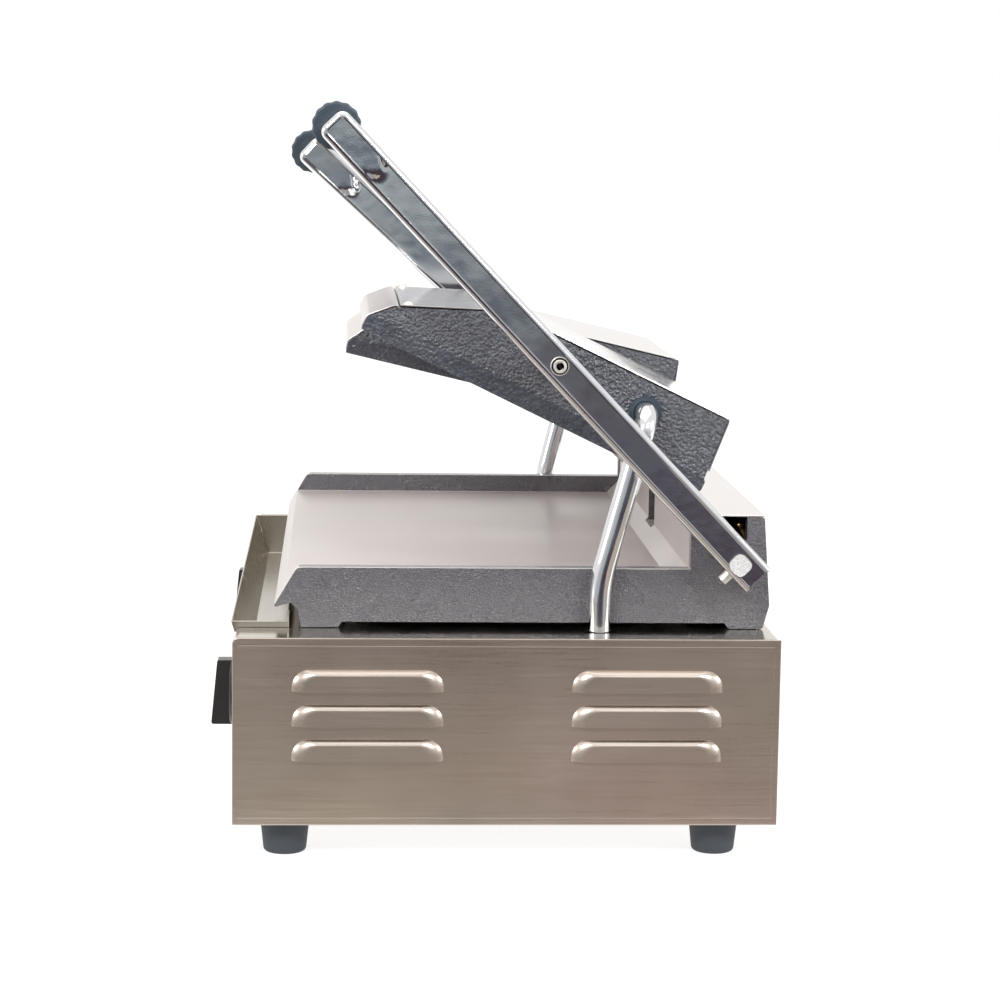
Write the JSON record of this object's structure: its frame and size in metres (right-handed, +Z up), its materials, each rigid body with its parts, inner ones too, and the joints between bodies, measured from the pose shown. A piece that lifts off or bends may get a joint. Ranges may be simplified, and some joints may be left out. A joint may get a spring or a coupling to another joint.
{
  "type": "panini press",
  "caption": "Twin commercial contact grill: two sprung lever-lifted cast heads over one wide cast plate on a louvred steel casing.",
  "frame": {"origin": "on the surface it stands on, under the middle of its outline", "axes": "+X across to the user's right as seen from the front, +Y from the front panel to the rear, +Z up"},
  "size_m": [0.578, 0.3852, 0.4904],
  "materials": {
    "casing_steel": "brushed stainless sheet, grain along the panel",
    "bright_steel": "bright stainless sheet",
    "enamelled_iron": "textured slate-grey enamel, the plate's face satin",
    "chrome": "polished chrome plate",
    "rod_steel": "turned steel",
    "foot_rubber": "matt",
    "grip_plastic": "satin moulded",
    "switch_plastic": "gloss moulded",
    "grommet_plastic": "matt moulded",
    "supply_gland": "matt moulded",
    "zinc_spring": "yellow zinc plate",
    "heater_steel": "heat-darkened sheath",
    "ceramic": "unglazed",
    "lamp_lens": "clear amber moulding",
    "rocker_red": "gloss moulded"
  },
  "bodies": {
    "base": {"base_shell": "casing_steel", "bottom_plate": "casing_steel", "front_right_foot": "foot_rubber", "front_left_foot": "foot_rubber", "rear_right_foot": "foot_rubber", "rear_left_foot": "foot_rubber", "right_side_panel": "casing_steel", "left_side_panel": "casing_steel", "right_tray_runner": "casing_steel", "left_tray_runner": "casing_steel", "lower_casting": "enamelled_iron", "spring_cover": "bright_steel", "cable_gland": "supply_gland", "terminal_block": "ceramic", "right_thermostat": "ceramic", "right_lamp": "lamp_lens", "right_switch_body": "switch_plastic", "right_lower_element": "heater_steel", "right_spring": "zinc_spring", "left_thermostat": "ceramic", "left_lamp": "lamp_lens", "left_switch_body": "switch_plastic", "left_lower_element": "heater_steel", "left_spring": "zinc_spring"},
    "tray": {"drip_tray": "bright_steel"},
    "right_handle": {"right_outer_arm": "chrome", "right_inner_arm": "chrome", "right_grip": "grip_plastic", "right_grip_rod": "rod_steel", "right_shaft": "rod_steel", "right_outer_set_screw": "rod_steel", "right_inner_set_screw": "rod_steel"},
    "right_head": {"right_head": "enamelled_iron", "right_head_cover": "bright_steel", "right_head_element": "heater_steel", "right_grommet": "grommet_plastic", "right_spacer": "rod_steel", "right_outer_bolt": "rod_steel", "right_inner_bolt": "rod_steel"},
    "right_conduit": {"right_conduit": "chrome"},
    "right_knob": {"right_knob": "grip_plastic"},
    "right_rocker": {"right_rocker": "rocker_red"},
    "left_handle": {"left_outer_arm": "chrome", "left_inner_arm": "chrome", "left_grip": "grip_plastic", "left_grip_rod": "rod_steel", "left_shaft": "rod_steel", "left_outer_set_screw": "rod_steel", "left_inner_set_screw": "rod_steel"},
    "left_head": {"left_head": "enamelled_iron", "left_head_cover": "bright_steel", "left_head_element": "heater_steel", "left_grommet": "grommet_plastic", "left_spacer": "rod_steel", "left_outer_bolt": "rod_steel", "left_inner_bolt": "rod_steel"},
    "left_conduit": {"left_conduit": "chrome"},
    "left_knob": {"left_knob": "grip_plastic"},
    "left_rocker": {"left_rocker": "rocker_red"}
  },
  "joints": [
    {"name": "tray_slide", "type": "slide", "parent": "base", "child": "tray", "axis": [0, -1, 0], "range_m": [0, 0.06]},
    {"name": "right_handle_hinge", "type": "hinge", "parent": "base", "child": "right_handle", "pos_m": [0.141, 0.1544, 0.1947], "axis": [-1, 0, 0], "range_deg": [-41.3, 3]},
    {"name": "right_head_pivot", "type": "hinge", "parent": "right_handle", "child": "right_head", "pos_m": [0.129, 0.03416, 0.32364], "axis": [-1, 0, 0], "range_deg": [-1.18, 15.65]},
    {"name": "right_conduit_swivel", "type": "hinge", "parent": "right_head", "child": "right_conduit", "pos_m": [0.256, 0.09402, 0.2905], "axis": [-1, 0, 0], "range_deg": [-4.35, 0.36]},
    {"name": "right_knob_turn", "type": "hinge", "parent": "base", "child": "right_knob", "pos_m": [0.19, -0.175, 0.0936], "axis": [0, 1, 0], "range_deg": [0, 270]},
    {"name": "right_rocker_tilt", "type": "hinge", "parent": "base", "child": "right_rocker", "pos_m": [0.095, -0.171, 0.0936], "axis": [1, 0, 0], "range_deg": [0, 14]},
    {"name": "left_handle_hinge", "type": "hinge", "parent": "base", "child": "left_handle", "pos_m": [-0.141, 0.1544, 0.1947], "axis": [-1, 0, 0], "range_deg": [-37.4, 3]},
    {"name": "left_head_pivot", "type": "hinge", "parent": "left_handle", "child": "left_head", "pos_m": [-0.129, 0.02567, 0.31516], "axis": [-1, 0, 0], "range_deg": [-2, 24.35]},
    {"name": "left_conduit_swivel", "type": "hinge", "parent": "left_head", "child": "left_conduit", "pos_m": [-0.256, 0.09131, 0.29588], "axis": [-1, 0, 0], "range_deg": [-16.95, 1.41]},
    {"name": "left_knob_turn", "type": "hinge", "parent": "base", "child": "left_knob", "pos_m": [-0.19, -0.175, 0.0936], "axis": [0, 1, 0], "range_deg": [0, 270]},
    {"name": "left_rocker_tilt", "type": "hinge", "parent": "base", "child": "left_rocker", "pos_m": [-0.095, -0.171, 0.0936], "axis": [1, 0, 0], "range_deg": [0, 14]}
  ],
  "couplings": [
    {"joint": "right_head_pivot", "follows": "right_handle_hinge", "ratio": -0.37772},
    {"joint": "right_conduit_swivel", "follows": "right_handle_hinge", "ratio": 0.10412},
    {"joint": "left_head_pivot", "follows": "left_handle_hinge", "ratio": -0.64973},
    {"joint": "left_conduit_swivel", "follows": "left_handle_hinge", "ratio": 0.45187}
  ]
}
